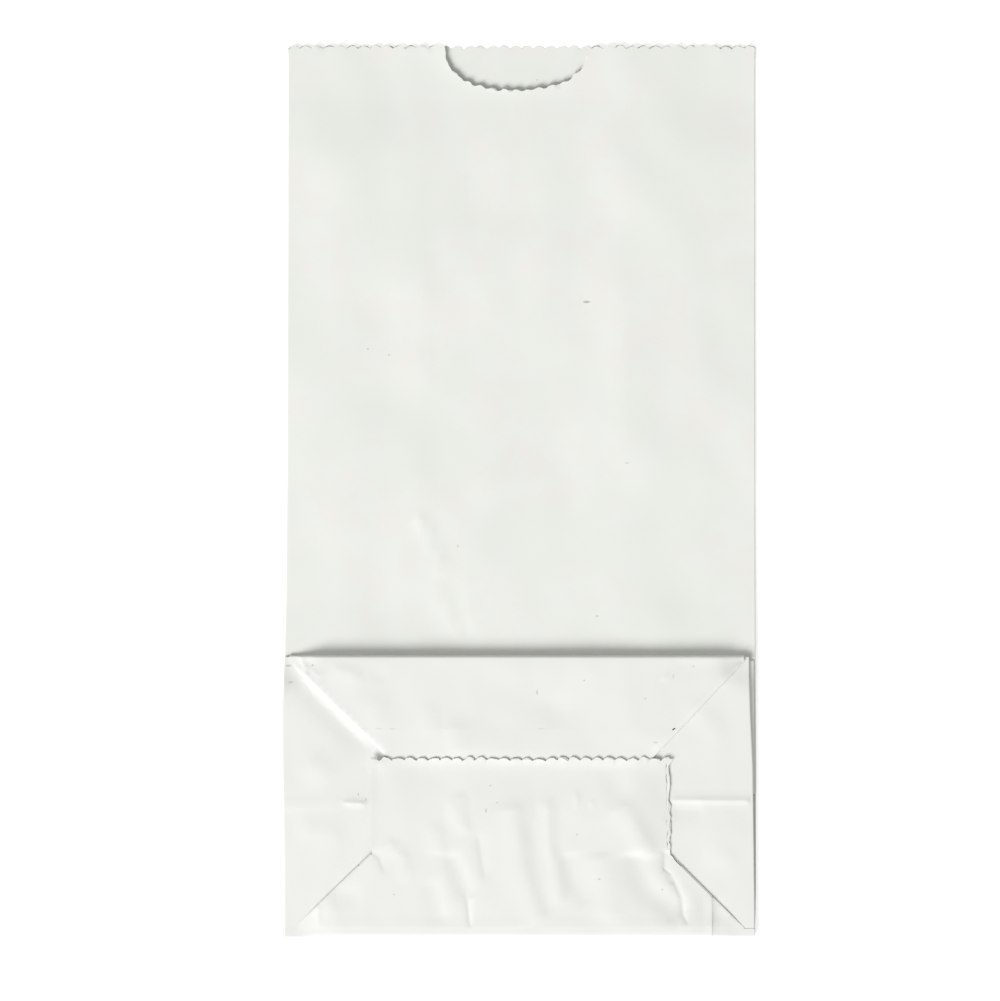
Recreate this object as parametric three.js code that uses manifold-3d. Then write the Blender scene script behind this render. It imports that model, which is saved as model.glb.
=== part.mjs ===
// A popcorn bag of white kraft paper, empty and folded flat: one sheet made into a gusseted
// tube with a lengthwise lap seam, and closed by a block bottom that lies over the front.
// Millimetres, +Z up. The back lies on the ground, +Y points to the mouth, and the origin is
// under the middle of the bag.
import * as THREE from "three";
import { mergeVertices } from "three/addons/utils/BufferGeometryUtils.js";
import Module from "manifold-3d";

const wasm = await Module();
wasm.setup();

// Driving dimensions
const bagWidth = 127;
const bagLength = 243; // bottom fold to the tips of the mouth's teeth
const bottomDepth = 76.5; // the block bottom, and the full width of each gusseted side
const paper = 0.15; // one ply
const plyPitch = 0.4; // from one ply to the next, in the springy stack of folds
const flapLength = 49; // every flap of the bottom, from its fold to its cut edge
const overSlitInset = 22.6; // from the bag's side to the slit that frees the over flap
const underSlitInset = 30; // the same on the under flap, hidden below the over flap
const seamInset = 11.6; // from the right side to the edge of the lap seam's outer ply
const lapWidth = 12;
const toothPitch = 3.2;
const toothHeight = 0.8;
const notchWidth = 39;
const notchDepth = 12.2;
const notchCentre = -1.5;
const notchFullness = 2.4; // exponent of the notch's outline: 2 is an ellipse, more is squarer
const tearInset = 23.9; // a tear in the over flap's right edge, beside its slit
const tearWidth = 0.3;
const tearFoot = 24; // from the bottom fold to the end of the tear
const foldSpring = 0.8; // how far the plies stand apart at the bottom fold, times their pitch
const turnSpring = 1.1;
const edgeSpring = 1.4;
const mouthSpring = 1.6;
const springReach = 45; // from an edge that springs open to where the plies lie close again

// Places that follow from them
const side = bagWidth / 2;
const gusset = bottomDepth / 2;
const mouth = bagLength / 2;
const bottomFold = -bagLength / 2;
const bottomEdge = bottomFold + bottomDepth; // the far fold of the bottom, on the front
const frontTurn = bottomFold + gusset; // where the front doubles back to reach it

// Plies are numbered from the ground up.
const BACK = 1;
const BACK_GUSSET = 2;
const FRONT_GUSSET = 3;
const FRONT = 4;
const FRONT_RETURN = 5;
const SIDE_CORNER = 6;
const SIDE_TRIANGLE = 7;
const END_FLAP = 8;
const FLAP_CORNER = 9;
const UNDER_FLAP = 10;
const OVER_FLAP = 11;

const height = (ply) => (ply - 1) * plyPitch;
const creaseRadius = (lowPly, highPly) => (height(highPly) - height(lowPly) + paper) / 2;
const diagonalStep = (radius) => Math.SQRT2 * radius; // a 45° line moved sideways by a radius

const pinch = creaseRadius(BACK, BACK_GUSSET); // a crease between two neighbouring plies
const flat = side - pinch; // a ply's flat part ends here, where its side crease starts
const wideCrease = creaseRadius(BACK_GUSSET, SIDE_TRIANGLE);
const turnCrease = creaseRadius(FRONT_GUSSET, SIDE_CORNER);
const edgeCrease = creaseRadius(FRONT_RETURN, UNDER_FLAP);
const bottomCrease = creaseRadius(BACK, OVER_FLAP);
const overCrease = creaseRadius(FLAP_CORNER, OVER_FLAP);
const gussetEnd = frontTurn + turnCrease;
const frontEnd = gussetEnd + pinch;
const edgeEnd = bottomEdge - edgeCrease;
const bottomEnd = bottomFold + bottomCrease;

const creaseLip = 0.3; // how far a crease's solid reaches into the flat plies it joins
const trim = 4; // what the pinking cut takes off the tube's mouth
const flapTrim = 1; // the same off each flap's end
const weld = 1e-3; // points nearer than this are one
const smallArc = 2; // facets of a quarter turn
const largeArc = 5;

// A geometry's shared corners are merged, and it becomes a solid for joining and cutting.
function solidOf(geometry) {
  const bare = geometry.clone();
  bare.deleteAttribute("normal");
  bare.deleteAttribute("uv");
  const merged = mergeVertices(bare);
  return new wasm.Manifold(
    new wasm.Mesh({
      numProp: 3,
      vertProperties: merged.attributes.position.array,
      triVerts: new Uint32Array(merged.index.array),
    }),
  );
}

function prism(outline, underside, thickness) {
  const shape = new THREE.Shape(outline.map(([x, y]) => new THREE.Vector2(x, y)));
  const geometry = new THREE.ExtrudeGeometry(shape, { depth: thickness, bevelEnabled: false });
  geometry.translate(0, 0, underside);
  return solidOf(geometry);
}

// One flat ply of the sheet.
const ply = (outline, underside) => prism(outline, underside, paper);

const rectangle = (left, right, low, high) => [
  [left, low],
  [right, low],
  [right, high],
  [left, high],
];

// The half-round strip that joins the edges of two plies. It bulges to the right of the way
// that leads from its first point to its second.
function crease([fromX, fromY], [toX, toY], lowSide, highSide) {
  const outer = (highSide - lowSide + paper) / 2;
  const inner = outer - paper;
  const section = new THREE.Shape();
  section.moveTo(-creaseLip, -outer);
  section.lineTo(0, -outer);
  section.absarc(0, 0, outer, -Math.PI / 2, Math.PI / 2, false);
  section.lineTo(-creaseLip, outer);
  section.lineTo(-creaseLip, inner);
  section.lineTo(0, inner);
  section.absarc(0, 0, inner, Math.PI / 2, -Math.PI / 2, true);
  section.lineTo(-creaseLip, -inner);
  const along = new THREE.Vector3(toX - fromX, toY - fromY, 0);
  const geometry = new THREE.ExtrudeGeometry(section, {
    depth: along.length(),
    bevelEnabled: false,
    curveSegments: outer > 2 * pinch ? largeArc : smallArc,
  });
  along.normalize();
  const up = new THREE.Vector3(0, 0, 1);
  const bulge = new THREE.Vector3().crossVectors(along, up);
  const frame = new THREE.Matrix4().makeBasis(bulge, up, along.clone().negate());
  frame.setPosition(toX, toY, (lowSide + highSide + paper) / 2);
  return solidOf(geometry.applyMatrix4(frame));
}

// A pinked edge from one x to another: round teeth that point along +Y, with sharp valleys.
const toothProfile = [0, 0.75, 1, 0.75];
function pinkedEdge(left, right, tip) {
  const teeth = Math.round((right - left) / toothPitch);
  const count = teeth * toothProfile.length;
  const points = [];
  for (let i = 0; i <= count; i++) {
    const rise = toothProfile[i % toothProfile.length];
    points.push([left + ((right - left) * i) / count, tip - toothHeight * (1 - rise)]);
  }
  return points;
}

// The rim of the thumb notch in the front ply. Its cutter has the mouth's teeth, so they show
// where it runs across the bag and fade where it turns up.
class NotchRim extends THREE.Curve {
  getPoint(t, target = new THREE.Vector2()) {
    const angle = Math.PI * t;
    const across = Math.sign(Math.cos(angle)) * Math.abs(Math.cos(angle)) ** (2 / notchFullness);
    const down = Math.sin(angle) ** (2 / notchFullness);
    return target.set(notchCentre + (notchWidth / 2) * across, mouth - notchDepth * down);
  }
}

function notchOutline() {
  const rim = new NotchRim();
  const steps = Math.round((toothProfile.length * rim.getLength()) / toothPitch);
  const points = rim.getSpacedPoints(steps).map(({ x, y }) => {
    const tooth = Math.abs(((x / toothPitch) % 1) * 2) % 2;
    const rise = tooth < 1 ? tooth : 2 - tooth;
    return [x, y + toothHeight * (rise - 0.5)];
  });
  const above = mouth + 2 * trim;
  return [...points, [notchCentre - notchWidth / 2, above], [notchCentre + notchWidth / 2, above]];
}

// The plies of a pressed bag spring apart at its folds and its mouth. Each station is a line
// across the bag with its spring, which changes evenly from one station to the next.
const springStations = [
  [bottomFold, foldSpring],
  [frontTurn, turnSpring],
  [bottomEdge, edgeSpring],
  [bottomEdge + springReach / 3, THREE.MathUtils.lerp(edgeSpring, 1, 2 / 3)],
  [bottomEdge + springReach, 1],
  [mouth - springReach, 1],
  [mouth - springReach / 3, THREE.MathUtils.lerp(mouthSpring, 1, 2 / 3)],
  [mouth, mouthSpring],
];

function springAt(y) {
  const next = springStations.findIndex(([station]) => station > y);
  if (next < 0) return mouthSpring;
  if (next === 0) return foldSpring;
  const [fromY, from] = springStations[next - 1];
  const [toY, to] = springStations[next];
  return THREE.MathUtils.mapLinear(y, fromY, toY, from, to);
}

// The height of a point of the even stack once the plies have sprung apart. A ply keeps its
// thickness, and only the gaps between the plies change.
function sprungHeight(y, z) {
  const pitch = plyPitch * springAt(y);
  const plyBelow = Math.floor(z / plyPitch);
  const within = z - plyBelow * plyPitch;
  const gapScale = (pitch - paper) / (plyPitch - paper);
  return plyBelow * pitch + Math.min(within, paper) + Math.max(within - paper, 0) * gapScale;
}

// Splits the triangles that cross a line over the bag, so that the plies can bend there.
function splitAcross(points, triangles, lineY) {
  const crossings = new Map();
  const crossing = (from, to) => {
    const before = points[from].y - lineY;
    const after = points[to].y - lineY;
    if (before * after >= 0 || Math.min(Math.abs(before), Math.abs(after)) < weld) return null;
    const key = `${Math.min(from, to)} ${Math.max(from, to)}`;
    if (!crossings.has(key)) {
      crossings.set(key, points.length);
      points.push(points[from].clone().lerp(points[to], before / (before - after)));
    }
    return crossings.get(key);
  };
  return triangles.flatMap((corners) => {
    const cuts = corners.map((corner, i) => crossing(corner, corners[(i + 1) % 3]));
    const whole = cuts.filter((cut) => cut === null).length;
    if (whole === 3) return [corners];
    const turn = whole === 2 ? cuts.findIndex((cut) => cut !== null) : cuts.indexOf(null) + 1;
    const [a, b, c] = [0, 1, 2].map((i) => corners[(i + turn) % 3]);
    const [ab, bc] = [0, 1].map((i) => cuts[(i + turn) % 3]);
    if (whole === 2) return [[a, ab, c], [ab, b, c]];
    return [[a, ab, c], [ab, bc, c], [ab, b, bc]];
  });
}

const allPlies = [];

// The tube: back with its lap seam, front, and the front's return under the bottom.
const seamEdge = side - seamInset;
const lapEdge = seamEdge - lapWidth;
const lapHeight = height(BACK) + paper; // the seam's inner ply lies on the outer one
const tubeTop = mouth + trim;

allPlies.push(ply(rectangle(-flat, seamEdge, bottomEnd, tubeTop), height(BACK)));
allPlies.push(ply(rectangle(lapEdge, flat, bottomEnd, tubeTop), lapHeight));
allPlies.push(ply(rectangle(-flat, flat, frontEnd, tubeTop), height(FRONT)));
allPlies.push(ply(rectangle(-flat, flat, frontEnd, edgeEnd), height(FRONT_RETURN)));
allPlies.push(
  crease([-flat, frontEnd], [flat, frontEnd], height(FRONT), height(FRONT_RETURN)),
);

// The flaps of the bottom that lie across it. `from` is where the flap starts at its fold.
// A point of a flap is given by its inset from the bag's side and its distance from the fold.
const flapOutline = (fold, from, slitInset, radius, toward) => {
  const corner = side - from - diagonalStep(radius);
  const slit = side - slitInset - diagonalStep(radius);
  const end = fold + toward * (flapLength + flapTrim);
  return [
    [corner, fold + toward * from],
    [slit, fold + toward * slitInset],
    [slit, end],
    [-slit, end],
    [-slit, fold + toward * slitInset],
    [-corner, fold + toward * from],
  ];
};

const underOutline = flapOutline(bottomEdge, edgeCrease, underSlitInset, pinch, -1);
allPlies.push(ply(underOutline, height(UNDER_FLAP)));
const underReach = side - edgeCrease - diagonalStep(pinch);
allPlies.push(
  crease([underReach, edgeEnd], [-underReach, edgeEnd], height(FRONT_RETURN), height(UNDER_FLAP)),
);

// The over flap carries on the back, so the lap seam runs through it too.
const overOutline = flapOutline(bottomFold, bottomCrease, overSlitInset, overCrease, 1);
const overSheet = ply(overOutline, height(OVER_FLAP));
const seamCut = prism(
  rectangle(seamEdge, side, bottomFold, mouth),
  height(OVER_FLAP) - paper,
  3 * paper,
);
const tearCut = prism(
  rectangle(
    side - tearInset - tearWidth / 2,
    side - tearInset + tearWidth / 2,
    bottomFold + tearFoot,
    mouth,
  ),
  height(OVER_FLAP) - paper,
  3 * paper,
);
allPlies.push(overSheet.subtract(seamCut).subtract(tearCut));
const lapSheet = ply(overOutline, height(OVER_FLAP) - paper);
const lapSide = prism(
  rectangle(lapEdge, side, bottomFold, mouth),
  height(OVER_FLAP) - 2 * paper,
  3 * paper,
);
allPlies.push(lapSheet.intersect(lapSide));
allPlies.push(crease([-side, bottomEnd], [seamEdge, bottomEnd], height(BACK), height(OVER_FLAP)));
allPlies.push(crease([lapEdge, bottomEnd], [side, bottomEnd], lapHeight, height(OVER_FLAP) - paper));

// What the two sides share. `hand` is 1 on the right and -1 on the left.
for (const hand of [1, -1]) {
  const at = (inset, y) => [hand * (side - inset), y];
  const fold = (from, to, lowSide, highSide) =>
    hand > 0 ? crease(from, to, lowSide, highSide) : crease(to, from, lowSide, highSide);
  const backHeight = hand > 0 ? lapHeight : height(BACK);
  const overHeight = hand > 0 ? height(OVER_FLAP) - paper : height(OVER_FLAP);

  // The gusset's back half ends on the diagonal that leads from the bag's lower corner.
  const wideStep = diagonalStep(wideCrease);
  const pinchStep = diagonalStep(pinch);
  const wideStart = Math.max(pinch, bottomCrease - wideStep);
  const gussetInset = gusset - pinch;
  allPlies.push(
    ply(
      [
        at(pinch, tubeTop),
        at(pinch, bottomFold + wideStart + wideStep),
        at(wideStart, bottomFold + wideStart + wideStep),
        at(gussetInset, bottomFold + gussetInset + wideStep),
        at(gussetInset, tubeTop),
      ],
      height(BACK_GUSSET),
    ),
  );
  allPlies.push(
    fold(at(pinch, bottomEnd), at(pinch, tubeTop), backHeight, height(BACK_GUSSET)),
  );

  // The front half ends at the turn of the front.
  allPlies.push(
    ply(
      [
        at(pinch, tubeTop),
        at(pinch, gussetEnd),
        at(gussetInset, gussetEnd),
        at(gussetInset, tubeTop),
      ],
      height(FRONT_GUSSET),
    ),
  );
  allPlies.push(
    fold(
      at(gussetInset, tubeTop),
      at(gussetInset, bottomFold + gussetInset + wideStep),
      height(BACK_GUSSET),
      height(FRONT_GUSSET),
    ),
  );
  allPlies.push(
    fold(at(pinch, frontEnd), at(pinch, tubeTop), height(FRONT_GUSSET), height(FRONT)),
  );

  // The small corner of the side panel, doubled under the bottom's far edge.
  const cornerTip = bottomEdge - gussetEnd - pinchStep;
  const topStart = edgeCrease - pinchStep;
  allPlies.push(
    ply(
      [
        at(pinch, edgeEnd),
        at(topStart, edgeEnd),
        at(cornerTip, gussetEnd),
        at(pinch, gussetEnd),
      ],
      height(SIDE_CORNER),
    ),
  );
  const turnEnds = hand > 0 ? [at(cornerTip, gussetEnd), at(pinch, gussetEnd)] : [at(pinch, gussetEnd), at(cornerTip, gussetEnd)];
  allPlies.push(crease(...turnEnds, height(FRONT_GUSSET), height(SIDE_CORNER)));
  allPlies.push(
    fold(at(pinch, frontEnd), at(pinch, edgeEnd), height(FRONT_RETURN), height(SIDE_CORNER)),
  );

  // The side panel's big triangle, and the end flap that it carries.
  const apexInset = (bottomDepth - pinchStep - wideStep) / 2;
  const apexHeight = bottomFold + apexInset + wideStep;
  allPlies.push(
    ply(
      [
        at(pinch, edgeEnd),
        at(topStart, edgeEnd),
        at(apexInset, apexHeight),
        at(wideStart, bottomFold + wideStart + wideStep),
        at(pinch, bottomFold + wideStart + wideStep),
      ],
      height(SIDE_TRIANGLE),
    ),
  );
  allPlies.push(
    fold(at(topStart, edgeEnd), at(cornerTip, gussetEnd), height(SIDE_CORNER), height(SIDE_TRIANGLE)),
  );
  allPlies.push(
    fold(
      at(apexInset, apexHeight),
      at(wideStart, bottomFold + wideStart + wideStep),
      height(BACK_GUSSET),
      height(SIDE_TRIANGLE),
    ),
  );
  const endLow = bottomEnd + pinch;
  const endHigh = edgeEnd - pinch;
  allPlies.push(
    ply(
      [at(pinch, endLow), at(pinch, endHigh), at(flapLength, endHigh), at(flapLength, endLow)],
      height(END_FLAP),
    ),
  );
  allPlies.push(
    fold(at(pinch, endLow), at(pinch, endHigh), height(SIDE_TRIANGLE), height(END_FLAP)),
  );

  // Each corner is doubled between the end flap and the flap that lies over it.
  const overStep = diagonalStep(overCrease);
  const corners = [
    { fold: bottomEdge, toward: -1, start: edgeCrease + pinch, slit: underSlitInset, step: pinchStep,
      coverHeight: height(UNDER_FLAP) },
    { fold: bottomFold, toward: 1, start: bottomCrease + pinch, slit: overSlitInset, step: overStep,
      coverHeight: overHeight },
  ];
  for (const { fold: line, toward, start, slit, step, coverHeight } of corners) {
    const nearCorner = at(start + step, line + toward * start);
    const nearSlit = at(slit + step, line + toward * slit);
    allPlies.push(
      ply(
        [
          nearCorner,
          nearSlit,
          at(flapLength, line + toward * slit),
          at(flapLength, line + toward * start),
        ],
        height(FLAP_CORNER),
      ),
    );
    const longSide = [nearCorner, at(flapLength, line + toward * start)];
    const diagonal = [nearSlit, nearCorner];
    if (toward > 0) {
      longSide.reverse();
      diagonal.reverse();
    }
    allPlies.push(fold(...longSide, height(END_FLAP), height(FLAP_CORNER)));
    allPlies.push(fold(...diagonal, height(FLAP_CORNER), coverHeight));
  }
}

// The folded sheet as an even stack of flat plies, and then with its plies sprung apart.
const evenStack = allPlies.reduce((joined, next) => joined.add(next)).getMesh();
const sheetPoints = [];
for (let i = 0; i < evenStack.vertProperties.length; i += 3) {
  sheetPoints.push(new THREE.Vector3().fromArray(evenStack.vertProperties, i));
}
const sheetTriangles = [];
for (let i = 0; i < evenStack.triVerts.length; i += 3) {
  sheetTriangles.push([...evenStack.triVerts.subarray(i, i + 3)]);
}
const bentTriangles = springStations.reduce(
  (triangles, [station]) => splitAcross(sheetPoints, triangles, station),
  sheetTriangles,
);
const bentSheet = new THREE.BufferGeometry().setFromPoints(
  sheetPoints.map(({ x, y, z }) => new THREE.Vector3(x, y, sprungHeight(y, z))),
);
bentSheet.setIndex(bentTriangles.flat());

// The pinking cuts: one trims every ply of the mouth at once, and each main flap of the bottom
// has its own. `toward` is the way that the teeth point, and the cut is as high as its plies.
function pinkingCut(tip, toward, low, high) {
  const reach = side + toothPitch;
  const teeth = pinkedEdge(-reach, reach, 0);
  const outline = [...teeth, [reach, 2 * trim], [-reach, 2 * trim]];
  return prism(outline.map(([x, y]) => [x, tip + toward * y]), low, high - low);
}
const flapEnd = (fold, toward, ply) => {
  const tip = fold + toward * flapLength;
  const low = sprungHeight(tip, height(ply) - plyPitch / 2);
  const high = sprungHeight(tip, height(ply) + plyPitch / 2);
  return pinkingCut(tip, toward, low, high);
};
const cuts = [
  pinkingCut(mouth, 1, -plyPitch, OVER_FLAP * plyPitch),
  flapEnd(bottomEdge, -1, UNDER_FLAP),
  flapEnd(bottomFold, 1, OVER_FLAP),
  prism(notchOutline(), 2 * paper, OVER_FLAP * plyPitch),
];
const bagSolid = cuts.reduce((solid, cut) => solid.subtract(cut), solidOf(bentSheet));

const bagMesh = bagSolid.getMesh();
const bagGeometry = new THREE.BufferGeometry();
bagGeometry.setAttribute("position", new THREE.BufferAttribute(bagMesh.vertProperties, 3));
bagGeometry.setIndex(new THREE.BufferAttribute(bagMesh.triVerts, 1));
bagGeometry.computeVertexNormals();

const whiteKraft = new THREE.MeshStandardMaterial({ color: 0xeceeea, roughness: 0.82, metalness: 0 });
const paperBag = new THREE.Mesh(bagGeometry, whiteKraft);
paperBag.name = "paper_bag";

const bag = new THREE.Group();
bag.add(paperBag);

export default bag;
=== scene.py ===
"""A flat-folded popcorn bag of white kraft paper, seen from straight above.

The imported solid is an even, clean fold of the sheet. This script copies its form into a finer
mesh, gives the sheet the waves, creases, lifted edges and torn fibres of used paper, and dresses
it. Places are in millimetres in the bag's own frame until a mesh is written, in metres.
"""

import logging
import math
from dataclasses import dataclass
from enum import Enum

import bpy
import numpy as np
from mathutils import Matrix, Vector, noise

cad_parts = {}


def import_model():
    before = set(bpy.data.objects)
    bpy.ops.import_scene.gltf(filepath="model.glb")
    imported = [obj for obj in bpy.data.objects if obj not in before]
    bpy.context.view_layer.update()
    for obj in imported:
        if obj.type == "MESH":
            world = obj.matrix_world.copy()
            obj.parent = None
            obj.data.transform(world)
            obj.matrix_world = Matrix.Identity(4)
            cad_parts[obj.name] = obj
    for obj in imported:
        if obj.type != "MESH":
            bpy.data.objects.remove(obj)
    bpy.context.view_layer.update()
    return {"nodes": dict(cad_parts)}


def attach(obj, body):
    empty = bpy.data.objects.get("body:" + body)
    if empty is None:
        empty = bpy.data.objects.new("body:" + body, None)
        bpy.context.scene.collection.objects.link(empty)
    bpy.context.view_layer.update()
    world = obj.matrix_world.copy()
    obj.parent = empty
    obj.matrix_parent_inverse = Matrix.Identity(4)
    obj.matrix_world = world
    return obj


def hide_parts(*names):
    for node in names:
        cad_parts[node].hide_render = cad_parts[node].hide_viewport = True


LOG = logging.getLogger("bag")
MM = 0.001

# The photograph is 1000 by 1001 pixels, and the bag is 891 pixels long in it.
IMAGE_WIDTH = 1000
IMAGE_HEIGHT = 1001
PIXEL = 243.0 / 891.0
BAG_MIDDLE_PX = (521.5, 491.5)

# A bend with a side narrower than this is cut into the mesh.
SHARP_PX = 3.1

# Where the light comes from, seen from above.
LIGHT_AZIMUTH_DEG = 232.0
LIGHT_FROM = (
    math.cos(math.radians(LIGHT_AZIMUTH_DEG)),
    math.sin(math.radians(LIGHT_AZIMUTH_DEG)),
)


def from_pixel(x: float, y: float) -> tuple[float, float]:
    """The bag's own x and y, in millimetres, of a pixel of the photograph."""
    return (x - BAG_MIDDLE_PX[0]) * PIXEL, (BAG_MIDDLE_PX[1] - y) * PIXEL


def smooth(value: np.ndarray, low: float, high: float) -> np.ndarray:
    """A smooth step from 0 at low to 1 at high."""
    t = np.clip((value - low) / (high - low), 0.0, 1.0)
    return t * t * (3.0 - 2.0 * t)


def noise_at(x: np.ndarray, y: np.ndarray, grain: tuple[float, float], seed: float) -> np.ndarray:
    """A smooth noise between -1 and 1.

    Args:
        x: The points' x, in millimetres.
        y: The points' y, in millimetres.
        grain: The size of the noise's cells along x and y, in millimetres.
        seed: Picks one noise among many.

    Returns:
        The noise at each point.
    """
    places = zip(x / grain[0], y / grain[1])
    return np.array([noise.noise(Vector((u, v, seed))) for u, v in places])


class Region(Enum):
    """The plies that a bend of the paper takes along, by number from the ground up."""

    FRONT = (0.0, 3.0)
    PANELS = (0.0, 7.0)
    UNDER_FLAP = (0.0, 9.0)
    OVER_FLAP = (0.0, 10.0)
    UNDER_FLAP_ALONE = (8.1, 9.0)
    OVER_FLAP_ALONE = (9.5, 9.9)

    def share(self, level: np.ndarray) -> np.ndarray:
        """The share of a bend that a ply takes, from none below to all of it."""
        low, high = self.value
        return np.clip((level - low) / (high - low), 0.0, 1.0)


@dataclass(frozen=True)
class Bend:
    """A ridge (or a valley, where the height is below zero) along a line of the paper.

    The light comes from the lower left of the picture, so each side is named for its light.
    """

    points_px: tuple[tuple[float, float], ...]
    height: float
    lit_px: float
    shaded_px: float
    region: Region = Region.OVER_FLAP
    fade_px: float = 8.0

    @property
    def corners(self) -> list[tuple[float, float]]:
        """The line's points in the bag's own millimetres."""
        return [from_pixel(*point) for point in self.points_px]

    @property
    def sharp(self) -> bool:
        """Whether the mesh is cut along the line."""
        return min(self.lit_px, self.shaded_px) < SHARP_PX

    def rise(self, x: np.ndarray, y: np.ndarray) -> np.ndarray:
        """How far the line lifts each point, in millimetres."""
        corners = self.corners
        lengths = [math.dist(a, b) for a, b in zip(corners, corners[1:])]
        total = sum(lengths)
        nearest = np.full(x.shape, 1e9)
        across = np.zeros(x.shape)
        along = np.zeros(x.shape)
        done = 0.0
        for (ax, ay), (bx, by), length in zip(corners, corners[1:], lengths):
            dx, dy = (bx - ax) / length, (by - ay) / length
            reach = np.clip((x - ax) * dx + (y - ay) * dy, 0.0, length)
            away_x, away_y = x - ax - reach * dx, y - ay - reach * dy
            distance = np.hypot(away_x, away_y)
            closer = distance < nearest
            nearest = np.where(closer, distance, nearest)
            lit = -dy * LIGHT_FROM[0] + dx * LIGHT_FROM[1]
            side = math.copysign(1.0, lit) * (-dy * (x - ax) + dx * (y - ay))
            across = np.where(closer, np.sign(side) * distance, across)
            along = np.where(closer, done + reach, along)
            done += length
        width = np.where(across > 0, self.lit_px, self.shaded_px) * PIXEL
        fade = min(self.fade_px * PIXEL, total / 2)
        ends = smooth(along, 0.0, fade) * (1.0 - smooth(along, total - fade, total))
        return self.height * ends * np.exp(-((across / width) ** 2))


@dataclass(frozen=True)
class Dent:
    """A soft round swelling or hollow of the springy paper."""

    middle_px: tuple[float, float]
    half_px: tuple[float, float]
    turn_deg: float
    height: float
    region: Region = Region.OVER_FLAP

    def rise(self, x: np.ndarray, y: np.ndarray) -> np.ndarray:
        """How far the dent lifts each point, in millimetres."""
        middle = from_pixel(*self.middle_px)
        turn = math.radians(self.turn_deg)
        dx, dy = x - middle[0], y - middle[1]
        across = (dx * math.cos(turn) + dy * math.sin(turn)) / (self.half_px[0] * PIXEL)
        along = (dy * math.cos(turn) - dx * math.sin(turn)) / (self.half_px[1] * PIXEL)
        return self.height * np.exp(-(across**2) - along**2)


BODY_BENDS = (
    Bend(((418, 512), (432, 545), (447, 578)), 0.34, 6, 5, Region.FRONT),
    Bend(((446, 566), (455, 600), (466, 640)), -0.24, 4, 7, Region.FRONT),
    Bend(((440, 590), (449, 612), (456, 634)), 0.16, 6, 4, Region.FRONT),
    Bend(((476, 30), (470, 100), (480, 150)), 0.10, 22, 22, Region.FRONT, 40),
    Bend(((330, 560), (410, 470), (430, 400)), 0.22, 24, 24, Region.FRONT, 50),
    Bend(((540, 640), (620, 500), (700, 420)), 0.20, 30, 30, Region.FRONT, 60),
    Bend(((300, 300), (340, 200), (330, 120)), 0.18, 26, 26, Region.FRONT, 50),
    Bend(((620, 150), (680, 230), (740, 330)), 0.18, 24, 30, Region.FRONT, 50),
    Bend(((480, 480), (520, 560), (530, 640)), -0.18, 24, 24, Region.FRONT, 50),
)
OVER_FLAP_BENDS = (
    Bend(((390, 766), (470, 765), (560, 766), (610, 768), (660, 765)), -0.34, 26, 6, fade_px=30),
    Bend(((512, 800), (518, 822), (521, 860), (530, 892), (541, 924)), 0.42, 17, 8),
    Bend(((549, 797), (549, 841), (558, 868), (562, 905)), 0.30, 9, 4),
    Bend(((526, 796), (533, 830)), 0.12, 4, 4),
    Bend(((452, 797), (453, 822)), 0.16, 5, 5),
    Bend(((460, 790), (461, 815), (468, 834)), 0.24, 9, 5),
    Bend(((437, 824), (438, 856)), 0.20, 8, 8),
    Bend(((388, 838), (406, 858), (410, 882)), 0.20, 8, 4),
    Bend(((371, 848), (381, 857), (387, 874)), -0.16, 2.5, 6),
    Bend(((478, 832), (485, 880)), -0.16, 3, 6),
    Bend(((450, 850), (461, 878), (468, 900)), -0.34, 8, 8),
    Bend(((467.5, 898), (470.5, 928)), -0.22, 2.5, 2.5, fade_px=4),
    Bend(((432, 878), (438, 905), (442, 926)), -0.26, 10, 8),
    Bend(((576.5, 791), (577, 808)), 0.10, 3, 3, fade_px=4),
    Bend(((592, 798), (592, 808)), 0.08, 3, 3, fade_px=4),
    Bend(((618, 800), (640, 835), (652, 860)), 0.30, 14, 10),
    Bend(((634, 848), (641, 872), (650, 890), (668, 904), (688, 914)), -0.55, 14, 12),
    Bend(((665, 849), (664.5, 868), (675, 883), (681.5, 897), (683, 913), (688, 925)),
         -0.24, 2.6, 4, fade_px=3),
    Bend(((600, 850), (606, 880), (612, 922)), 0.26, 14, 10),
    Bend(((568, 850), (573, 880), (590, 905)), -0.24, 8, 14),
    Bend(((322.5, 903), (322.5, 927)), 0.14, 4, 2.6, fade_px=4),
    Bend(((330, 896), (368, 893)), -0.30, 12, 10, fade_px=14),
    Bend(((711.5, 896), (711.5, 938)), 0.22, 5, 2.2, fade_px=2),
    Bend(((719, 896), (720, 926)), -0.14, 6, 4, fade_px=4),
    Bend(((300, 925.5), (420, 925.8), (600, 926), (735, 925)), 0.12, 8, 3.5, fade_px=10),
    Bend(((371.5, 762), (371.5, 852)), 0.12, 2.6, 5, Region.OVER_FLAP_ALONE, 5),
)
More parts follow.
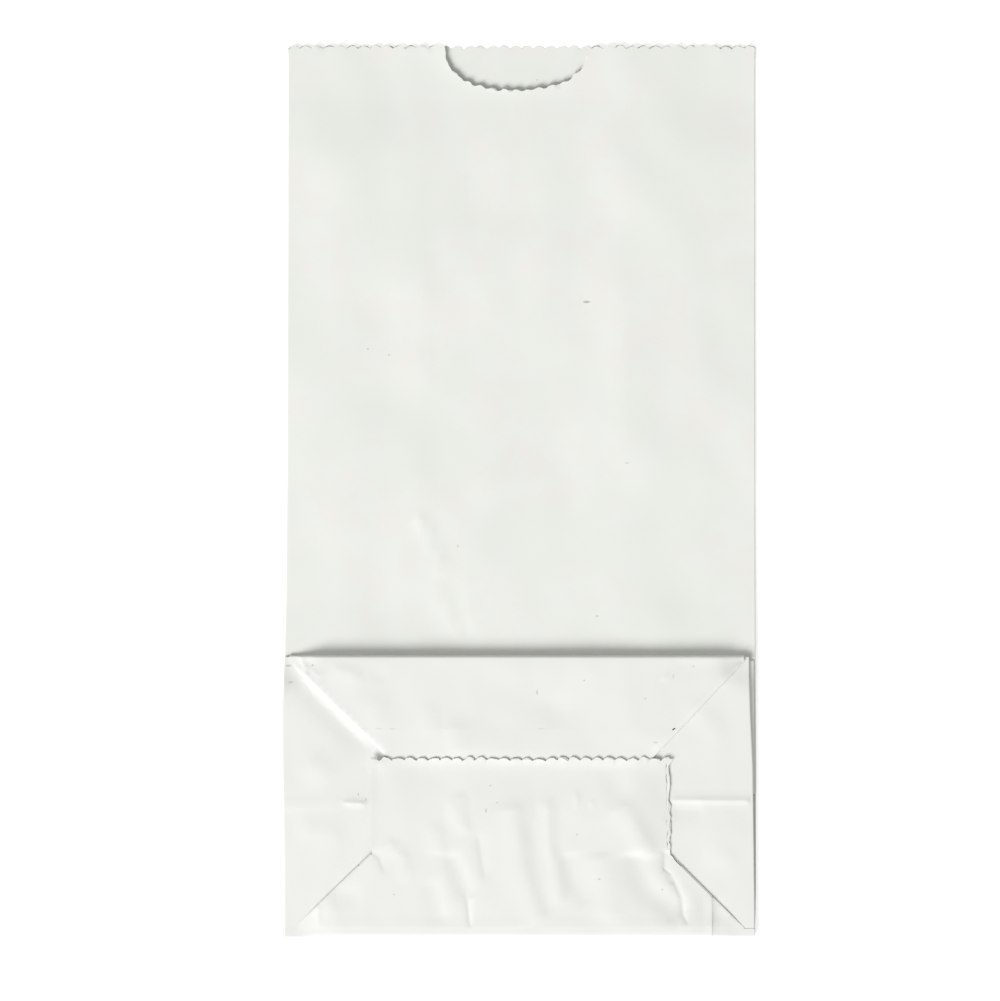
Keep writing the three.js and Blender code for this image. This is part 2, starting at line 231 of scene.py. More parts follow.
UNDER_FLAP_BENDS = (
    Bend(((303.5, 655), (309, 665), (312, 678)), 0.20, 2.6, 3, Region.UNDER_FLAP_ALONE, 3),
    Bend(((309, 665), (318, 671), (328, 678)), 0.10, 2.6, 3, Region.UNDER_FLAP_ALONE, 3),
    Bend(((334, 668), (352, 671), (368, 681)), 0.18, 9, 4, Region.UNDER_FLAP),
    Bend(((372, 674), (392, 676)), -0.14, 6, 8, Region.UNDER_FLAP),
    Bend(((292, 659), (340, 707), (381, 750)), 0.06, 2.6, 6, Region.UNDER_FLAP_ALONE),
    Bend(((380, 690), (384, 738)), 0.20, 12, 10, Region.UNDER_FLAP, 18),
    Bend(((430, 697), (434, 743)), 0.18, 12, 8, Region.UNDER_FLAP, 18),
    Bend(((452, 716), (462, 760)), 0.32, 12, 16, Region.UNDER_FLAP, 14),
    Bend(((545, 690), (565, 725)), -0.24, 16, 16, Region.UNDER_FLAP, 14),
    Bend(((480, 668), (620, 671)), 0.10, 10, 12, Region.UNDER_FLAP, 30),
    Bend(((672, 664), (745, 663)), -0.14, 10, 5, Region.UNDER_FLAP, 14),
    Bend(((748, 660), (700, 704), (652, 751)), 0.16, 3, 3, Region.UNDER_FLAP_ALONE),
    Bend(((664, 681), (672, 675)), 0.12, 3, 3, Region.UNDER_FLAP_ALONE, 2),
)
PANEL_BENDS = (
    Bend(((284, 806.5), (320, 804), (346, 802)), 0.14, 4, 3.5, Region.PANELS, 4),
    Bend(((346, 802), (369, 803)), 0.30, 3, 2.6, Region.PANELS, 3),
    Bend(((671, 799.5), (700, 800), (752, 800.5)), 0.26, 3, 3.5, Region.PANELS, 3),
    Bend(((290, 662), (333, 706), (378, 754)), -0.44, 13, 3.1, Region.PANELS, 30),
    Bend(((316, 757), (336, 781)), 0.26, 14, 12, Region.PANELS, 8),
    Bend(((300, 826), (350, 836)), 0.20, 12, 12, Region.PANELS, 12),
    Bend(((672, 812), (705, 808)), -0.20, 8, 7, Region.PANELS, 8),
    Bend(((690, 700), (730, 740)), 0.14, 12, 12, Region.PANELS, 12),
    Bend(((700, 850), (742, 862)), 0.18, 12, 12, Region.PANELS, 12),
)
DENTS = (
    Dent((375, 760), (5, 4), 20, 0.45, Region.OVER_FLAP_ALONE),
    Dent((386, 766), (3.5, 4), 0, 0.22, Region.OVER_FLAP_ALONE),
    Dent((289, 665), (4, 3), 0, 0.35, Region.UNDER_FLAP_ALONE),
    Dent((745, 667), (4, 3), 0, 0.18, Region.UNDER_FLAP_ALONE),
    Dent((620, 790), (12, 16), 30, -0.18),
    Dent((500, 745), (26, 12), 0, 0.14, Region.UNDER_FLAP),
    Dent((640, 735), (16, 14), 30, 0.16, Region.UNDER_FLAP),
)


@dataclass
class FoldedSheet:
    """The bag itself: one sheet, as fine as its waves and creases need."""

    width: float = 127.0
    length: float = 243.0
    bottom_depth: float = 76.5
    ply_pitch: float = 0.4
    flap_length: float = 49.0
    gusset_edge: float = 25.5
    over_slit: float = 22.6
    fold_reach: float = 2.1
    edge_reach: float = 1.1
    notch_middle: float = -1.5
    notch_half: float = 19.5
    notch_depth: float = 12.2
    spring_reach: float = 45.0
    springs: tuple[float, float, float, float] = (0.8, 1.1, 1.4, 1.6)
    paper: float = 0.15
    hairline_y: float = -64.5
    hairline_start: float = -70.3
    hairline_z: float = 4.4783
    hairline_width: float = 0.5
    coarse_cell: float = 7.0
    body_cell: float = 2.5
    bottom_cell: float = 1.55
    # Heights of the waves of the long front and of the folded bottom, wide and small.
    body_waves: tuple[float, float] = (0.62, 0.25)
    bottom_waves: tuple[float, float] = (0.26, 0.10)
    gusset_dip: float = 0.14
    notch_lift: float = 0.30
    lip_lift: float = 0.14
    # Shares by which the plies are pressed together; pairs are for the left and right side.
    mouth_press: float = 0.34
    corner_press: tuple[float, float] = (0.97, 0.85)
    fold_press: tuple[float, float] = (0.70, 0.35)
    side_press: float = 0.58
    rim_press: float = 0.25
    roll_lift: tuple[float, float] = (0.03, 0.06)
    # How far the cut edges stray, along x and y, and the torn slit along x.
    pinking_stray: tuple[float, float] = (0.5, 0.6)
    tear_stray: float = 1.1
    # Shares by which the two cross folds are squared.
    bottom_squareness: float = 0.28
    edge_squareness: float = 0.3
    edge_overhang: float = 0.35
    smooth_deg: float = 32.0

    @property
    def bottom_fold(self) -> float:
        """The y of the bottom fold."""
        return -self.length / 2

    @property
    def bottom_edge(self) -> float:
        """The y of the block bottom's far fold, on the front."""
        return self.bottom_fold + self.bottom_depth

    def spring(self, y: np.ndarray) -> np.ndarray:
        """How far apart the plies stand at a place, as a share of their pitch."""
        fold, turn, edge, mouth = self.springs
        top = self.length / 2
        places = [
            self.bottom_fold,
            self.bottom_fold + self.bottom_depth / 2,
            self.bottom_edge,
            self.bottom_edge + self.spring_reach / 3,
            self.bottom_edge + self.spring_reach,
            top - self.spring_reach,
            top - self.spring_reach / 3,
            top,
        ]
        shares = [fold, turn, edge, 1 + (edge - 1) / 3, 1.0, 1.0, 1 + (mouth - 1) / 3, mouth]
        return np.interp(y, places, shares)

    def level(self, y: np.ndarray, z: np.ndarray) -> np.ndarray:
        """The number of the ply at a height, counted from 0 at the ground."""
        return z / (self.ply_pitch * self.spring(y))

    def copy_of(self, node: bpy.types.Object) -> bpy.types.Object:
        """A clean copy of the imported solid, with its loose triangles joined.

        Args:
            node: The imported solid's object.

        Returns:
            The copy, which is selected and active.
        """
        bpy.ops.object.select_all(action="DESELECT")
        sheet = bpy.data.objects.new("folded_paper", node.data.copy())
        bpy.context.scene.collection.objects.link(sheet)
        sheet.data.materials.clear()
        sheet.select_set(True)
        bpy.context.view_layer.objects.active = sheet
        bpy.context.tool_settings.mesh_select_mode = (False, False, True)
        bpy.ops.object.mode_set(mode="EDIT")
        bpy.ops.mesh.select_all(action="SELECT")
        bpy.ops.mesh.remove_doubles(threshold=0.002 * MM)
        bpy.ops.mesh.customdata_custom_splitnormals_clear()
        bpy.ops.mesh.dissolve_limited(angle_limit=math.radians(0.05))
        bpy.ops.mesh.quads_convert_to_tris(quad_method="BEAUTY", ngon_method="BEAUTY")
        bpy.ops.object.mode_set(mode="OBJECT")
        return sheet

    def mend_hairline(self, sheet: bpy.types.Object) -> None:
        """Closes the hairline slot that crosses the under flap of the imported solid."""
        for vertex in sheet.data.vertices:
            y, z = vertex.co.y / MM, vertex.co.z / MM
            in_strip = self.hairline_start < y < self.hairline_y + 0.1
            if abs(z - self.hairline_z) > 0.002 or not in_strip:
                continue
            y = self.hairline_y if y > self.hairline_y - self.hairline_width else y
            top = Region.UNDER_FLAP.value[1] * self.ply_pitch * float(self.spring(y)) + self.paper
            vertex.co.y, vertex.co.z = MM * y, MM * top

    def cut(
        self,
        sheet: bpy.types.Object,
        chosen: np.ndarray,
        planes: list[tuple[tuple[float, float], tuple[float, float]]],
    ) -> None:
        """Cuts some of the sheet's faces along upright planes.

        Args:
            sheet: The sheet's object, which is active.
            chosen: For each face, whether it is cut.
            planes: A point and a direction across each plane, in millimetres.
        """
        sheet.data.polygons.foreach_set("select", chosen)
        bpy.ops.object.mode_set(mode="EDIT")
        bpy.ops.mesh.hide(unselected=True)
        for (x, y), (across_x, across_y) in planes:
            bpy.ops.mesh.select_all(action="SELECT")
            bpy.ops.mesh.bisect(
                plane_co=(MM * x, MM * y, 0),
                plane_no=(across_x, across_y, 0),
                threshold=0.004 * MM,
            )
        bpy.ops.mesh.reveal(select=False)
        bpy.ops.object.mode_set(mode="OBJECT")

    def centres(self, sheet: bpy.types.Object) -> tuple[np.ndarray, np.ndarray, np.ndarray]:
        """The x and y of each face's middle, in millimetres, and the ply that it is on."""
        places = np.empty(3 * len(sheet.data.polygons))
        sheet.data.polygons.foreach_get("center", places)
        x, y, z = places.reshape(-1, 3).T / MM
        return x, y, self.level(y, z)

    def grid(
        self, low: float, high: float, cell: float, supports: tuple[float, ...] = ()
    ) -> list[tuple[tuple[float, float], tuple[float, float]]]:
        """Planes for a grid of cells over the bag's width, from one y to another."""
        half = self.width / 2
        columns = round(self.width / cell)
        rows = round((high - low) / cell)
        across = [-half + self.width * i / columns for i in range(1, columns)]
        across += [side * (half - inset) for side in (-1, 1) for inset in (0.45, 0.9)]
        up = [low + (high - low) * i / rows for i in range(1, rows)]
        up += supports
        return [((x, 0), (1, 0)) for x in across] + [((0, y), (0, 1)) for y in up]

    def refine(self, sheet: bpy.types.Object) -> None:
        """Cuts the sheet into small cells, finer where it shows and along sharp creases."""
        top = self.length / 2
        everything = np.ones(len(sheet.data.polygons), dtype=bool)
        self.cut(sheet, everything, self.grid(self.bottom_fold, top, self.coarse_cell))
        x, y, level = self.centres(sheet)
        front = (y > self.bottom_edge) & (level > 2.6)
        self.cut(sheet, front, self.grid(self.bottom_edge, top, self.body_cell))
        x, y, level = self.centres(sheet)
        block = (y < self.bottom_edge) & (level > 6.6)
        supports = (
            self.bottom_edge - self.edge_reach - 0.4,
            self.bottom_edge - self.edge_reach / 2,
            self.bottom_edge - self.edge_reach / 6,
            self.bottom_fold + self.fold_reach + 0.4,
            self.bottom_fold + self.fold_reach / 2,
            self.bottom_fold + self.fold_reach / 6,
        )
        self.cut(
            sheet, block, self.grid(self.bottom_fold, self.bottom_edge, self.bottom_cell, supports)
        )
        for bend in (*OVER_FLAP_BENDS, *UNDER_FLAP_BENDS, *PANEL_BENDS):
            if bend.sharp:
                self.score(sheet, bend)
        bpy.ops.object.mode_set(mode="EDIT")
        bpy.ops.mesh.select_all(action="SELECT")
        bpy.ops.mesh.remove_doubles(threshold=0.003 * MM)
        bpy.ops.mesh.quads_convert_to_tris(quad_method="BEAUTY", ngon_method="BEAUTY")
        bpy.ops.object.mode_set(mode="OBJECT")

    def score(self, sheet: bpy.types.Object, bend: Bend) -> None:
        """Cuts the mesh along a sharp bend, so that its crest stays crisp."""
        high = bend.region.value[1]
        for (ax, ay), (bx, by) in zip(bend.corners, bend.corners[1:]):
            length = math.dist((ax, ay), (bx, by))
            dx, dy = (bx - ax) / length, (by - ay) / length
            x, y, level = self.centres(sheet)
            along = (x - ax) * dx + (y - ay) * dy
            across = (x - ax) * -dy + (y - ay) * dx
            near = (along > -0.8) & (along < length + 0.8) & (np.abs(across) < 1.6)
            chosen = near & (level > max(high - 0.4, 6.6)) & (level < high + 0.8)
            if not chosen.any():
                continue
            narrow = PIXEL * min(bend.lit_px, bend.shaded_px)
            offsets = (-1.1 * narrow, -0.5 * narrow, 0.0, 0.5 * narrow, 1.1 * narrow)
            planes = [((ax - dy * off, ay + dx * off), (-dy, dx)) for off in offsets]
            self.cut(sheet, chosen, planes)

    def notch_distance(self, x: np.ndarray, y: np.ndarray) -> np.ndarray:
        """Roughly how far a point lies outside the thumb notch, in millimetres."""
        across = (x - self.notch_middle) / self.notch_half
        down = (self.length / 2 - y) / self.notch_depth
        return (np.hypot(across, down) - 1.0) * self.notch_depth

    def body_rise(self, x: np.ndarray, y: np.ndarray, level: np.ndarray) -> np.ndarray:
        """How far the waves of the long front and back lift each point."""
        wide = noise_at(x, y, (30.0, 44.0), 1.7)
        small = noise_at(x, y, (11.0, 17.0), 5.1)
        waves = self.body_waves[0] * wide + self.body_waves[1] * small
        between = 1.0 - smooth(np.abs(x), self.gusset_edge - 2.5, self.gusset_edge + 1.5)
        middle = smooth(y, -20.0, 15.0) * (1.0 - smooth(y, 75.0, 100.0))
        rise = Region.FRONT.share(level) * (waves - self.gusset_dip * between * middle)
        for bend in BODY_BENDS:
            rise += bend.region.share(level) * bend.rise(x, y)
        away = self.notch_distance(x, y)
        rise += smooth(level, 2.0, 2.9) * self.notch_lift * np.exp(-np.maximum(away, 0.0) / 2.2)
        return rise

    def block_rise(self, x: np.ndarray, y: np.ndarray, level: np.ndarray) -> np.ndarray:
        """How far the waves and creases of the folded bottom lift each point."""
        wide = noise_at(x, y, (16.0, 24.0), 3.3)
        small = noise_at(x, y, (6.0, 9.0), 8.8)
        rise = self.bottom_waves[0] * wide + self.bottom_waves[1] * small
        rise *= Region.OVER_FLAP.share(level)
        for bend in (*OVER_FLAP_BENDS, *UNDER_FLAP_BENDS, *PANEL_BENDS, *DENTS):
            rise += bend.region.share(level) * bend.rise(x, y)
        free_edge = self.bottom_fold + self.flap_length
        lip = smooth(y, free_edge - 4.0, free_edge) * (y < free_edge + 1.5)
        ripple = 0.7 + 0.6 * noise_at(x, y * 0, (7.0, 1.0), 9.0)
        rise += Region.OVER_FLAP_ALONE.share(level) * self.lip_lift * lip * ripple
        inset = self.width / 2 - np.abs(x)
        above = y - self.bottom_fold
        off = (inset - above) / math.sqrt(2)
        roll = np.exp(-((off / 1.8) ** 2)) * smooth(above, 3.0, 12.0)
        roll *= 1.0 - smooth(above, 20.0, 23.0)
        lift = np.where(x < 0, *self.roll_lift)
        rise += Region.OVER_FLAP_ALONE.share(level) * lift * roll
        return rise

    def square_folds(self, y: np.ndarray, level: np.ndarray) -> np.ndarray:
        """Presses the two round cross folds flatter, so that their tops stay level further."""
        start = self.bottom_fold + self.fold_reach
        t = np.clip((start - y) / self.fold_reach, 0.0, 1.0)
        y = np.where(t > 0, start - self.fold_reach * t**self.bottom_squareness, y)
        start = self.bottom_edge - self.edge_reach
        t = np.clip((y - start) / self.edge_reach, 0.0, 1.0)
        upper = (t > 0) & (t <= 1) & (y <= self.bottom_edge + 1e-3) & (level > 6.5)
        squared = start + self.edge_reach * t**self.edge_squareness + self.edge_overhang * t
        return np.where(upper, squared, y)

    def flap_press(self, x: np.ndarray, y: np.ndarray) -> np.ndarray:
        """How far the flaps are pressed down onto the side panels, from 0 to 1."""
        inset = self.width / 2 - np.abs(x)
        above = y - self.bottom_fold
        corner = 1.0 - smooth(np.hypot(inset, above), 4.0, 15.0)
        diagonal = (inset - above) / math.sqrt(2)
        inside = np.where(above < self.over_slit, diagonal, inset - self.over_slit)
        side = (1.0 - smooth(inside, 0.0, 11.0)) * (x > 0)
        side *= 1.0 - smooth(above, self.flap_length - 2.0, self.flap_length + 6.0)
        inside = (x + self.width / 2 - self.bottom_edge + y) / math.sqrt(2)
        rim = (1.0 - smooth(inside, 0.0, 0.9)) * (x < 0) * (above > self.flap_length + 1.0)
        press = np.maximum(corner * np.where(x < 0, *self.corner_press), self.side_press * side)
        return np.maximum(press, self.rim_press * rim)

    def pressed(self, x: np.ndarray, y: np.ndarray, z: np.ndarray) -> np.ndarray:
        """Heights with the bottom pressed down at its four corners and along its sides."""
        panel = (Region.PANELS.value[1] + 0.3) * self.ply_pitch * self.spring(y)
        left = 1.0 - self.flap_press(x, y)
        z = np.where(z > panel, panel + (z - panel) * left, z)
        front = (Region.FRONT.value[1] + 0.5) * self.ply_pitch * self.spring(y)
        away = np.hypot(self.width / 2 - np.abs(x), y - self.bottom_edge)
        press = (1.0 - smooth(away, 2.0, 10.0)) * np.where(x < 0, *self.fold_press)
        in_block = (z > front) & (y < self.bottom_edge + 0.01)
        return np.where(in_block, front + (z - front) * (1.0 - press), z)

    def closed_corners(self, x: np.ndarray, y: np.ndarray, level: np.ndarray) -> np.ndarray:
        """The panels' ends drawn over the small gaps at the block's four corners, along y."""
        panel = smooth(level, 6.4, 6.9) * (1.0 - smooth(level, 8.6, 8.9))
        outer = smooth(np.abs(x), self.width / 2 - 4.0, self.width / 2 - 1.5)
        low, high = self.bottom_fold + self.fold_reach, self.bottom_edge - self.edge_reach
        up = 1.25 * smooth(y, high - 2.5, high - 0.1) * (y < high + 0.4)
        down = 1.2 * (1.0 - smooth(y, low - 0.1, low + 2.5)) * (y > low - 0.6)
        return panel * outer * (up - down)

    def ragged_edges(
        self, x: np.ndarray, y: np.ndarray, level: np.ndarray
    ) -> tuple[np.ndarray, np.ndarray]:
        """How far the pinked and torn edges stray from a clean cut, along x and y."""
        top = self.length / 2
        free_edge = self.bottom_fold + self.flap_length
        slit = self.width / 2 - self.over_slit
        mouth = smooth(y, top - 2.0, top - 0.6)
        flap = (np.abs(y - free_edge) < 1.6) * (level > 9.5)
        notch = (np.abs(self.notch_distance(x, y)) < 1.6) * (level > 2.6)
        torn = (np.abs(x - slit + 0.7) < 1.3) * (level > 9.5) * (y < free_edge - 0.5)
        rough_x = noise_at(x, y + 9.0 * level, (1.7, 1.7), 21.0)
        rough_y = noise_at(x + 5.0 * level, y, (2.1, 2.1), 33.0)
        share = np.clip(mouth + flap + notch, 0.0, 1.0)
        stray_x, stray_y = self.pinking_stray
        along_x = stray_x * share * rough_x + self.tear_stray * torn * rough_x
        return along_x, stray_y * share * rough_y

    def outline_shift(self, x: np.ndarray, y: np.ndarray, level: np.ndarray) -> np.ndarray:
        """How far the bag's sides stray from straight lines, along x."""
        rows = [-121.5, -112.0, -98.0, -75.0, -60.0, -50.0, -30.0, 0.0, 121.5]
        left = np.interp(y, rows, [-1.0, -1.2, -1.25, -1.6, -1.7, -1.3, -0.8, -0.5, -0.1])
        right = np.interp(y, rows, [0.1, 0.5, 0.5, 0.45, 0.4, 0.35, 0.3, 0.2, 0.2])
        panel = np.interp(y, rows, [0.0, 0.0, -0.2, -0.5, -1.2, -1.5, -1.5, 0.0, 0.0])
        lifted = smooth(level, 3.6, 5.2) * (y < self.bottom_edge + 0.5)
        right = right + (panel - right) * lifted
        return left * smooth(-x, 20.0, 63.0) + right * smooth(x, 20.0, 63.0)

    def shaped(self, x: np.ndarray, y: np.ndarray, z: np.ndarray) -> np.ndarray:
        """Where the points of the even fold lie in the used bag.

        Args:
            x: The points' x, in millimetres.
            y: The points' y, in millimetres.
            z: The points' heights, in millimetres.

        Returns:
            The new places, in metres, one row each.
        """
        level = self.level(y, z)
        in_block = 1.0 - smooth(y, self.bottom_edge - 1.0, self.bottom_edge + 8.0)
        on_body = smooth(y, self.bottom_edge - 4.0, self.bottom_edge + 14.0)
        body = self.body_rise(x, y, level) * on_body
        block = self.block_rise(x, y, level) * in_block
        rise = np.where(y < self.bottom_edge + 0.01, block, body)
        mouth = 1.0 - self.mouth_press * smooth(y, 80.0, 121.0)
        near_fold = smooth(y, self.bottom_fold, self.bottom_fold + 3.5)
        new_z = np.maximum(self.pressed(x, y, z) * mouth + rise * near_fold, 0.0)
        rough_x, rough_y = self.ragged_edges(x, y, level)
        new_x = x + self.outline_shift(x, y, level) + rough_x
        new_y = self.square_folds(y, level) + self.closed_corners(x, y, level) + rough_y
        return np.stack((new_x, new_y, new_z), axis=1) * MM

    def relax(self, sheet: bpy.types.Object) -> None:
        """Moves every point of the sheet to its place in the used bag, and notes its ply."""
        places = np.empty(3 * len(sheet.data.vertices))
        sheet.data.vertices.foreach_get("co", places)
        x, y, z = places.reshape(-1, 3).T / MM
        ply = sheet.data.attributes.new("ply", "FLOAT", "POINT")
        ply.data.foreach_set("value", self.level(y, z))
        sheet.data.vertices.foreach_set("co", self.shaped(x, y, z).ravel())
        sheet.data.update()

    def build(self, node: bpy.types.Object) -> bpy.types.Object:
        """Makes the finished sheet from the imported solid.

        Args:
            node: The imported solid's object.

        Returns:
            The finished mesh object, at the origin.
        """
        sheet = self.copy_of(node)
        self.mend_hairline(sheet)
        self.refine(sheet)
        self.relax(sheet)
        bpy.ops.object.select_all(action="DESELECT")
        sheet.select_set(True)
        bpy.context.view_layer.objects.active = sheet
        bpy.ops.object.shade_smooth_by_angle(angle=math.radians(self.smooth_deg))
        return sheet


class Nodes:
    """A material's node tree, to which expressions add their nodes."""

    def __init__(self, name: str) -> None:
        """Starts an empty material."""
        self.material = bpy.data.materials.new(name)
        self.material.use_nodes = True
        self.tree = self.material.node_tree
        self.tree.nodes.clear()

    def add(
        self,
        kind: str,
        settings: dict[str, object] | None = None,
        inputs: dict[str | int, object] | None = None,
        output: str | int = 0,
    ) -> "Socket":
        """Adds one node.

        Args:
            kind: The node's type.
            settings: The node's own settings, set before its sockets.
            inputs: The value or link of each socket, by name or number.
            output: The output that the result stands for.

        Returns:
            The node's output, ready for more expressions.
        """
        node = self.tree.nodes.new(kind)
        for name, value in (settings or {}).items():
            setattr(node, name, value)
        for key, value in (inputs or {}).items():
            if isinstance(value, Socket):
                self.tree.links.new(value.socket, node.inputs[key])
            else:
                node.inputs[key].default_value = value
        return Socket(self, node.outputs[output])

    def mixed(self, share: "Socket", low: object, high: object) -> "Socket":
        """A colour between two others.

        Args:
            share: The second colour's share.
            low: The first colour, as three numbers or a socket.
            high: The second colour, as three numbers or a socket.

        Returns:
            The mixed colour.
        """
        colours = [c if isinstance(c, Socket) else (*c, 1.0) for c in (low, high)]
        inputs = {0: share, 6: colours[0], 7: colours[1]}
        return self.add("ShaderNodeMix", {"data_type": "RGBA"}, inputs, 2)

    def finish(self, shader: "Socket") -> bpy.types.Material:
        """Links the shader to the material's surface and gives the material."""
        end = self.tree.nodes.new("ShaderNodeOutputMaterial")
        self.tree.links.new(shader.socket, end.inputs["Surface"])
        return self.material


class Socket:
    """A node's output that can be used in an expression."""

    def __init__(self, nodes: Nodes, socket: bpy.types.NodeSocket) -> None:
        """Wraps an output of a node."""
        self.nodes = nodes
        self.socket = socket

    def sibling(self, name: str) -> "Socket":
        """Another output of the same node."""
        return Socket(self.nodes, self.socket.node.outputs[name])

    def maths(self, operation: str, *others: "Socket | float") -> "Socket":
        """Adds a Math node on this value."""
        values = dict(enumerate((self, *others)))
        return self.nodes.add("ShaderNodeMath", {"operation": operation}, values)

    def __add__(self, other: "Socket | float") -> "Socket":
        """Adds."""
        return self.maths("ADD", other)

    __radd__ = __add__

    def __mul__(self, other: "Socket | float") -> "Socket":
        """Multiplies."""
        return self.maths("MULTIPLY", other)

    __rmul__ = __mul__

    def __sub__(self, other: "Socket | float") -> "Socket":
        """Subtracts a value from this one."""
        return self.maths("SUBTRACT", other)

    def __rsub__(self, other: float) -> "Socket":
        """Subtracts this one from a value."""
        return (self * -1.0).maths("ADD", other)

    def __truediv__(self, other: "Socket | float") -> "Socket":
        """Divides."""
        return self.maths("DIVIDE", other)

    def step(self, low: float, high: float) -> "Socket":
        """A smooth step from 0 at low to 1 at high."""
        settings = {"interpolation_type": "SMOOTHSTEP"}
        inputs = {"Value": self, "From Min": low, "From Max": high}
        return self.nodes.add("ShaderNodeMapRange", settings, inputs)


@dataclass(frozen=True)
class Speck:
    """A dark fibre or speck in the paper."""

    place_px: tuple[float, float]
    half_px: tuple[float, float] = (0.85, 0.85)
    strength: float = 0.65

    def mask(self, x: Socket, y: Socket) -> Socket:
        """1 on the speck and 0 off it."""
        middle = from_pixel(*self.place_px)
        across = (x - middle[0]) / (self.half_px[0] * PIXEL)
        along = (y - middle[1]) / (self.half_px[1] * PIXEL)
        return 1.0 - (across * across + along * along).step(0.5, 1.5)


SPECKS = (
    Speck((586.5, 302), (3.4, 1.2), 0.8),
    Speck((368, 349)),
    Speck((389, 355)),
    Speck((584, 680)),
    Speck((537, 692), (0.8, 2.6), 0.6),
    Speck((645, 698), strength=0.5),
    Speck((693, 666)),
    Speck((490.5, 785)),
    Speck((497, 802)),
    Speck((486, 810), (1.0, 2.0), 0.5),
    Speck((577, 834), strength=0.6),
    Speck((599, 878.5), (1.5, 0.8), 0.6),
    Speck((662, 889)),
    Speck((394, 894), strength=0.6),
    Speck((358.5, 794), (0.7, 1.6), 0.6),
    Speck((366, 799), (0.7, 1.8), 0.6),
    Speck((313, 665), (1.3, 1.0), 0.6),
    Speck((291, 682), (2.2, 1.0), 0.5),
    Speck((288.5, 665.5), (2.8, 1.1), 0.6),
    Speck((673, 676), (1.0, 2.4), 0.3),
    Speck((655, 742), (2.4, 1.0), 0.35),
    Speck((537, 80), strength=0.6),
    Speck((705, 42), (1.0, 2.0), 0.5),
    Speck((458, 546), (0.8, 1.6), 0.4),
    Speck((597, 616), (1.8, 0.9), 0.4),
    Speck((627, 463), (2.2, 0.8), 0.35),
)


@dataclass(frozen=True)
class KraftFinish:
    """White uncoated kraft: faint mottling, fibres and a few specks."""

    body: tuple[float, float, float] = (0.842, 0.860, 0.815)
    flap: tuple[float, float, float] = (0.826, 0.828, 0.803)
    warm: tuple[float, float, float] = (0.856, 0.838, 0.802)
    cool: tuple[float, float, float] = (0.812, 0.850, 0.786)
    speck: tuple[float, float, float] = (0.46, 0.45, 0.42)
    roughness: float = 0.86
    mottle_scale: float = 130.0
    mottle_share: float = 0.70
    blotch_scale: float = 34.0
    blotch_share: float = 0.60
    flap_share: float = 0.70
    fibre_scale: float = 900.0
    cloud_scale: float = 260.0
    fibre_height: float = 0.00003
    fibre_strength: float = 0.35
    specular: float = 0.25

    def noise(self, nodes: Nodes, place: Socket, scale: float, detail: float) -> Socket:
        """A noise value over the paper."""
        inputs = {"Vector": place, "Scale": scale, "Detail": detail, "Roughness": 0.55}
        return nodes.add("ShaderNodeTexNoise", {}, inputs)

    def build(self) -> bpy.types.Material:
        """Makes the material."""
        nodes = Nodes("white_kraft")
        place = nodes.add("ShaderNodeTexCoord", output="Object")
        split = nodes.add("ShaderNodeSeparateXYZ", {}, {"Vector": place})
        x = split * (1.0 / MM)
        y = split.sibling("Y") * (1.0 / MM)
        ply = nodes.add("ShaderNodeAttribute", {"attribute_name": "ply"}, {}, "Fac")

        mottle = self.noise(nodes, place, self.mottle_scale, 4.0)
        blotch = self.noise(nodes, place, self.blotch_scale, 2.0)
        warmth = mottle.step(0.40, 0.60) * self.mottle_share
        coolness = blotch.step(0.44, 0.60) * self.blotch_share
        body = nodes.mixed(warmth, self.body, self.warm)
        body = nodes.mixed(coolness, body, self.cool)
        on_flap = ply.step(6.3, 6.8) * (1.0 - y.step(-47.0, -44.0))
        colour = nodes.mixed(on_flap * self.flap_share, body, self.flap)

        for speck in SPECKS:
            colour = nodes.mixed(speck.mask(x, y) * speck.strength, colour, self.speck)

        fibre = self.noise(nodes, place, self.fibre_scale, 4.0)
        cloud = self.noise(nodes, place, self.cloud_scale, 3.0)
        height = fibre * 0.6 + cloud * 0.8
        bump = nodes.add(
            "ShaderNodeBump",
            {},
            {
                "Strength": self.fibre_strength,
                "Distance": self.fibre_height,
                "Height": height,
            },
        )
        rough = self.roughness + (fibre - 0.5) * 0.08
        shader = nodes.add(
            "ShaderNodeBsdfPrincipled",
            {},
            {
                "Base Color": colour,
                "Roughness": rough,
                "Normal": bump,
                "Specular IOR Level": self.specular,
            },
        )
        return nodes.finish(shader)


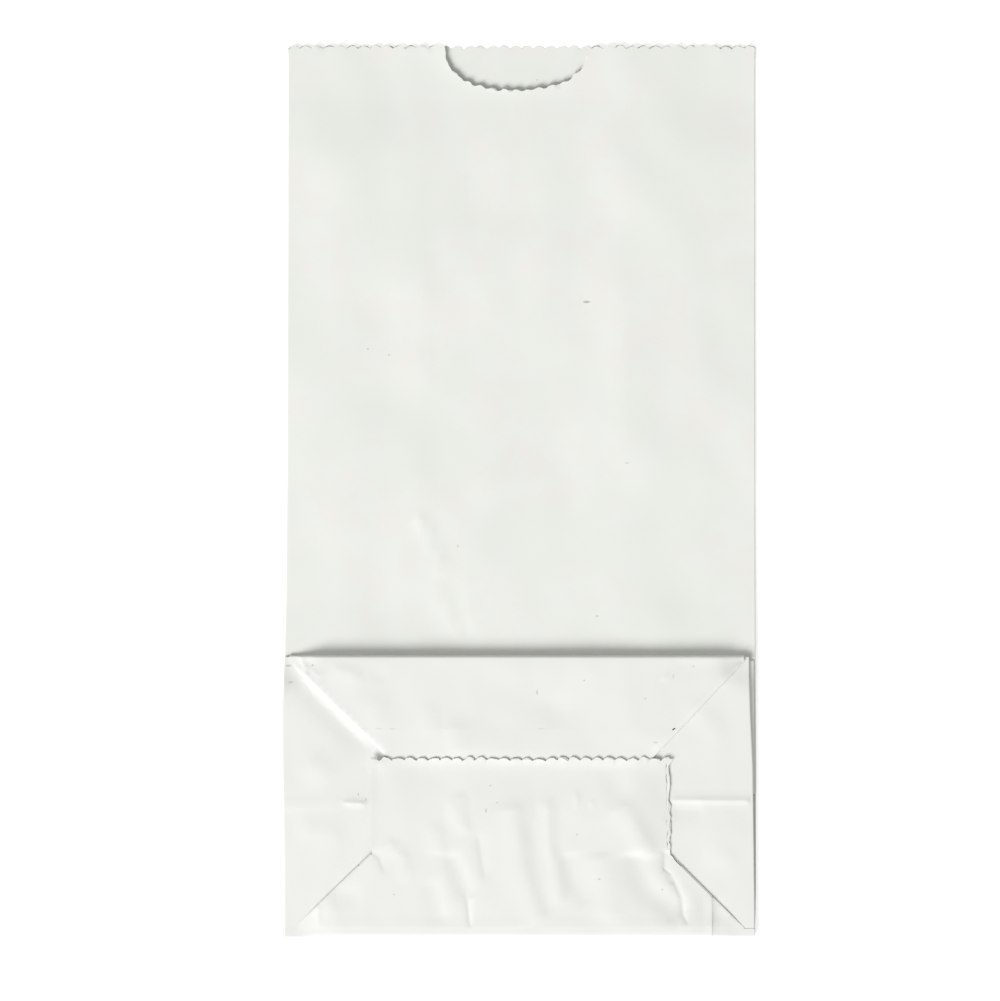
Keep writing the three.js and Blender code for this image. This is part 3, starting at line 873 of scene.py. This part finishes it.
@dataclass
class Studio:
    """The pale floor, the soft light and the camera straight above the bag."""

    floor_size: float = 4.0
    lens: float = 300.0
    sensor: float = 36.0
    key_power: float = 362.0
    key_size: float = 3.4
    key_distance: float = 6.0
    key_height_deg: float = 38.0
    fill_strength: float = 0.425
    floor_glow: float = 0.56

    def floor(self) -> bpy.types.Object:
        """A pale floor that keeps the bag's shadow and is white to the camera."""
        bpy.ops.object.select_all(action="DESELECT")
        bpy.ops.mesh.primitive_plane_add(size=self.floor_size, location=(0, 0, -0.0001))
        floor = bpy.context.object
        floor.name = "floor"
        nodes = Nodes("pale_floor")
        path = nodes.add("ShaderNodeLightPath", output="Is Camera Ray")
        glossy = path.sibling("Is Glossy Ray")
        through = path.sibling("Is Transmission Ray")
        seen = (path + glossy + through).maths("MINIMUM", 1.0)
        glow = nodes.mixed(seen, (0.0, 0.0, 0.0), (1.0, 1.0, 1.0))
        shader = nodes.add(
            "ShaderNodeBsdfPrincipled",
            {},
            {
                "Base Color": (0.86, 0.86, 0.86, 1.0),
                "Roughness": 1.0,
                "Specular IOR Level": 0.0,
                "Emission Color": glow,
                "Emission Strength": self.floor_glow,
            },
        )
        floor.data.materials.append(nodes.finish(shader))
        return floor

    def key_light(self) -> bpy.types.Object:
        """A large soft lamp from the lower left of the picture."""
        azimuth, height = math.radians(LIGHT_AZIMUTH_DEG), math.radians(self.key_height_deg)
        toward = Vector(
            (
                math.cos(azimuth) * math.cos(height),
                math.sin(azimuth) * math.cos(height),
                math.sin(height),
            )
        )
        data = bpy.data.lights.new("key", "AREA")
        data.shape = "DISK"
        data.size = self.key_size
        data.energy = self.key_power
        lamp = bpy.data.objects.new("key", data)
        bpy.context.scene.collection.objects.link(lamp)
        lamp.location = toward * self.key_distance
        lamp.rotation_euler = toward.to_track_quat("Z", "Y").to_euler()
        return lamp

    def sky(self) -> None:
        """An even fill from all round."""
        world = bpy.data.worlds.new("fill")
        world.use_nodes = True
        background = world.node_tree.nodes["Background"]
        background.inputs["Color"].default_value = (1.0, 1.0, 1.0, 1.0)
        background.inputs["Strength"].default_value = self.fill_strength
        bpy.context.scene.world = world

    def camera(self) -> bpy.types.Object:
        """A long lens straight above the middle of the photograph's frame."""
        data = bpy.data.cameras.new("camera")
        data.lens = self.lens
        data.sensor_width = self.sensor
        data.sensor_fit = "HORIZONTAL"
        data.clip_end = 20.0
        camera = bpy.data.objects.new("camera", data)
        bpy.context.scene.collection.objects.link(camera)
        x, y = from_pixel(IMAGE_WIDTH / 2, IMAGE_HEIGHT / 2)
        distance = IMAGE_WIDTH * PIXEL * MM * self.lens / self.sensor
        camera.location = (MM * x, MM * y, distance)
        bpy.context.scene.camera = camera
        return camera

    def build(self) -> None:
        """Sets the whole stage."""
        self.camera()
        self.floor()
        self.key_light()
        self.sky()
        bpy.context.scene.view_settings.view_transform = "Standard"


def corners(bounds: tuple[Vector, Vector]) -> list[list[float]]:
    """A box's two corners as plain lists of numbers."""
    return [[float(c) for c in corner] for corner in bounds]


def main() -> None:
    """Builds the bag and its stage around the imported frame."""
    logging.basicConfig(level=logging.INFO, format="%(name)s: %(message)s")
    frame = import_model()
    Studio().build()
    LOG.info("stage is set")

    sheet = FoldedSheet().build(frame["nodes"]["paper_bag"])
    sheet.data.materials.append(KraftFinish().build())
    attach(sheet, "root")
    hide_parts("paper_bag")
    LOG.info("folded paper: %d faces", len(sheet.data.polygons))


if __name__ == "__main__":
    main()
